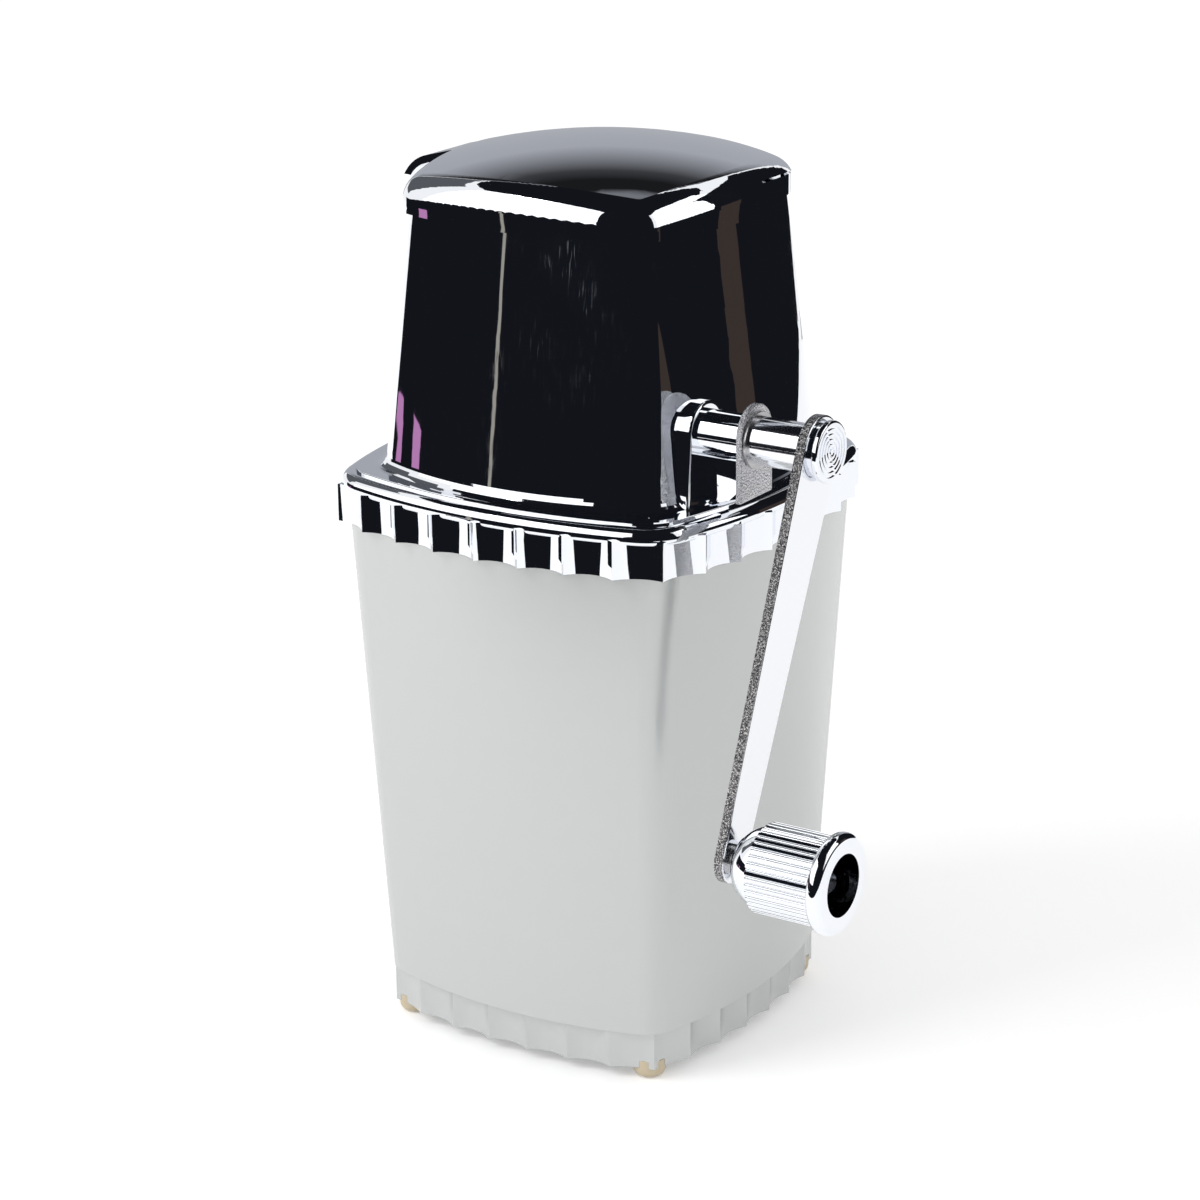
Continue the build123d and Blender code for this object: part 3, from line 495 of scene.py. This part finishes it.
# %% Card colours
black = emission("flag_black", (0.007, 0.008, 0.011))
softbox = emission("softbox_white", (1, 1, 1), strength=1.5)
brown = emission("flag_brown", (0.045, 0.033, 0.028))
grey = emission("flag_grey", (0.10, 0.105, 0.115))
pale = emission("strip_pale", (0.34, 0.32, 0.28))
pink = emission("card_pink", (0.50, 0.22, 0.46))
silver_card = emission("card_silver", (0.55, 0.56, 0.58))
for made in (black, softbox, brown, grey, pale, pink, silver_card):
    print(f"card colour {made.name}")

# %% [markdown]
# ## Dark walls
# In an all white room chrome looks flat and white: it needs something dark to mirror. Six black
# cards stand in a ring round the crusher. Those under the soft boxes are low, so that the boxes show
# over them. Those on the camera's side and at the right rear are high.

# %% Dark walls
low_wall = 0.27
flag_distance = 0.9
for name, bearing, high, width in (
    ("flag_left", -150, low_wall, 0.92),
    ("flag_front_left", -108, low_wall, 0.80),
    ("flag_camera", -66, 1.7, 0.80),
    ("flag_camera_right", -26, 1.5, 0.72),
    ("flag_right", 14, low_wall, 0.80),
    ("flag_rear_right", 66, 0.95, 0.96),
):
    wall(name, bearing, flag_distance, 0.0, high, width, black)

# %% [markdown]
# ## Backdrop
# Behind the crusher, what the metal mirrors fades from pale grey low down to black and a little up
# again at the top. Many cards in a row would show as steps. One card with a colour ramp over its
# height is smooth. A card is one unit high about its middle, so half a unit is added to its Y.

# %% Backdrop fade
half_card = 0.5
tint = (0.93, 0.96, 1.04)
stops = (
    (0.0, 0.46), (0.42, 0.42), (0.56, 0.24), (0.70, 0.05), (0.80, 0.012), (0.90, 0.012), (0.95, 0.2),
)

backdrop = emission("backdrop_fade", (1, 1, 1))
fade_tree = backdrop.node_tree
fade = fade_tree.nodes.new("ShaderNodeValToRGB")
while len(fade.color_ramp.elements) < len(stops):
    fade.color_ramp.elements.new(0.5)
for element, (position, value) in zip(fade.color_ramp.elements, stops):
    element.position = position
    element.color = (*(value * part for part in tint), 1)
place = fade_tree.nodes.new("ShaderNodeTexCoord")
split = fade_tree.nodes.new("ShaderNodeSeparateXYZ")
fade_tree.links.new(place.outputs["Object"], split.inputs["Vector"])
fade_tree.links.new(maths(fade_tree, "ADD", split.outputs["Y"], half_card), fade.inputs["Fac"])
fade_tree.links.new(fade.outputs["Color"], fade_tree.nodes["Emission"].inputs["Color"])
print(f"backdrop fades through {len(fade.color_ramp.elements)} stops")

# %% [markdown]
# ## Soft boxes and the rest of the room
# Two large soft boxes give the chrome its bright shapes, one at the left front and one at the right.
# Lamps there would light the table and cast shadows, so they are cards too, brighter than white. A
# pale card beside the backdrop, a grey one at the left and a black ceiling fill the gaps.

# %% Soft boxes, backdrop and ceiling
above_wall = low_wall + 0.01
for name, bearing, distance, low, high, width, made in (
    ("softbox_left", -122, 1.3, above_wall, 1.9, 1.9, softbox),
    ("softbox_right", 30, 1.3, above_wall, 1.7, 1.1, softbox),
    ("backdrop_rear", 123, 1.6, 0.0, 1.85, 1.5, backdrop),
    ("side_grey", 101, 0.95, 0.0, 0.2, 0.16, silver_card),
    ("left_grey", 168, 1.6, 0.55, 1.8, 1.1, grey),
):
    wall(name, bearing, distance, low, high, width, made)
card("ceiling", (0, 0, 2.0), (0, 0, 0), 3.2, 3.2, black)

# %% [markdown]
# ## Small patches
# Between the dark walls the metal mirrors a few small things: a pale upright strip, two pinkish
# patches and two brown ones. Each stands just inside the walls, so that the walls don't hide it. A
# dark card lies just over the table on the camera's side, where low metal mirrors a dark ground.

# %% Small patches
for name, bearing, distance, high, width, made in (
    ("pale_strip", -123, 0.87, low_wall, 0.018, pale),
    ("pink_patch", -165, 0.86, 0.075, 0.03, pink),
    ("pink_patch_wide", -156, 0.86, 0.08, 0.06, pink),
    ("brown_patch", 46, 0.88, 0.26, 0.16, brown),
    ("brown_patch_right", 10, 0.88, 0.2, 0.10, brown),
):
    wall(name, bearing, distance, 0.0, high, width, made)
card("floor_dark", (0.30, -0.86, 0.003), (0.30, -0.86, 1), 1.3, 0.9, black)

# %% [markdown]
# ## Lamp
# The room's light comes from all sides and gives next to no shadow. One large square lamp, high at
# the front left, adds a soft shadow and a little form. A small lamp would draw a hard edge.

# %% Lamp
lamp_place, lamp_aim = Vector((-0.9, -1.3, 1.5)), Vector((0, 0, 0.12))
lamp_data = bpy.data.lights.new("key", "AREA")
lamp_data.size = 0.9
lamp_data.energy = 14
lamp = bpy.data.objects.new("key", lamp_data)
bpy.context.scene.collection.objects.link(lamp)
lamp.location = lamp_place
lamp.rotation_euler = (lamp_aim - lamp_place).to_track_quat("-Z", "Y").to_euler()
bpy.context.scene.view_settings.view_transform = "Standard"
print(f"lamp of {lamp_data.energy:.0f} W, {lamp_data.size:.1f} m wide")

# %% [markdown]
# ## Sizes before and after
# Dressing a part must not change its size. The box round the parts is printed before and after.

# %% Sizes before and after
size_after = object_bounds()
print(f"box before {box_sides(size_before)}, after {box_sides(size_after)}")
